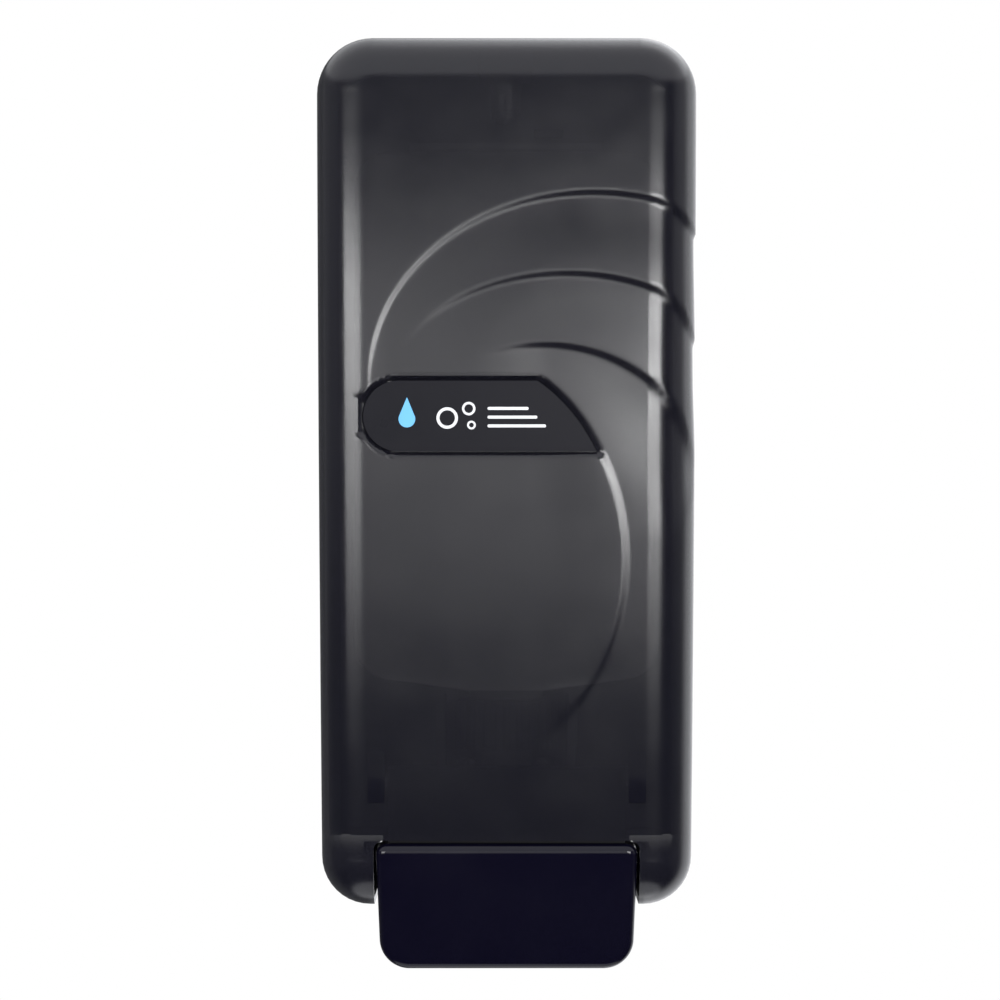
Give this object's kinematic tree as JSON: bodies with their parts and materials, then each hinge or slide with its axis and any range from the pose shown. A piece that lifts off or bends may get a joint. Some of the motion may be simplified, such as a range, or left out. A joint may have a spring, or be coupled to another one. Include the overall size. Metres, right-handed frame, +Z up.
{
  "type": "wall mounted soap dispenser",
  "caption": "Wall mounted liquid soap dispenser: smoke see-through hinged cover with wave steps, push bar, refillable tank and piston pump.",
  "frame": {"origin": "centre of the four wall screw holes, on the plate's rear face at the wall", "axes": "+Z up, +Y into the wall, +X to the right of a person facing the dispenser"},
  "size_m": [0.1166, 0.104, 0.2805],
  "materials": {
    "smoke_plastic": "dark see-through smoke plastic, satin gloss with a fine pearl grain",
    "black_plastic": "opaque black, smooth gloss",
    "grey_plastic": "moulded grey, fine texture",
    "tank_plastic": "milky moulded plastic",
    "flap_plastic": "milky moulded plastic",
    "amber_plastic": "warm amber moulded plastic",
    "collar_plastic": "black moulded plastic",
    "pump_plastic": "natural white moulded plastic",
    "badge_black": "black plate, satin",
    "badge_print": "pale inlay",
    "steel": "plain steel",
    "rubber": "soft black",
    "lock_trim": "dark ring",
    "lock_metal": "plated plug"
  },
  "bodies": {
    "base": {"wall_plate": "grey_plastic", "cover_hinge_pins": "steel", "reservoir": "tank_plastic", "tank_strainer": "amber_plastic", "flap_hinge_pin": "steel", "outlet_gasket": "rubber", "collar_nut": "collar_plastic", "pump_body": "pump_plastic", "pump_bracket": "grey_plastic", "bracket_screws": "steel", "inlet_cage": "pump_plastic", "return_spring": "steel", "spout_nozzle": "collar_plastic", "outlet_valve": "rubber"},
    "cover": {"front_cover": "smoke_plastic", "push_bar_pins": "steel", "name_badge": "badge_black", "badge_pictograms": "badge_print", "lock_escutcheon": "lock_trim"},
    "bar": {"push_bar": "black_plastic"},
    "piston": {"piston_rod": "pump_plastic", "piston_seal": "rubber", "piston_button": "collar_plastic"},
    "lock": {"lock_barrel": "lock_metal", "lock_cam": "steel", "cam_screw": "steel"},
    "flap": {"filler_flap": "flap_plastic"},
    "ball": {"inlet_ball": "steel"}
  },
  "joints": [
    {"name": "cover_hinge", "type": "hinge", "parent": "base", "child": "cover", "pos_m": [0, -0.0075, -0.123], "axis": [1, 0, 0], "range_deg": [0, 65]},
    {"name": "push_bar_press", "type": "hinge", "parent": "cover", "child": "bar", "pos_m": [0, -0.09, -0.092], "axis": [1, 0, 0], "range_deg": [0, 16], "stiffness_Nm_per_rad": 1, "springref_deg": -6.88},
    {"name": "piston_stroke", "type": "slide", "parent": "base", "child": "piston", "axis": [0, 1, 0], "range_m": [0, 0.0073], "deforming": ["return_spring"]},
    {"name": "lock_turn", "type": "hinge", "parent": "cover", "child": "lock", "pos_m": [0, -0.024, 0.1143], "axis": [0, 0, -1], "range_deg": [0, 90]},
    {"name": "filler_flap_lift", "type": "hinge", "parent": "base", "child": "flap", "pos_m": [0, -0.04, 0.09995], "axis": [-1, 0, 0], "range_deg": [0, 85]},
    {"name": "inlet_ball_lift", "type": "slide", "parent": "base", "child": "ball", "axis": [0, 0, 1], "range_m": [0, 0.0012]}
  ],
  "couplings": [
    {"joint": "piston_stroke", "follows": "push_bar_press", "m_per_rad": 0.02566}
  ]
}
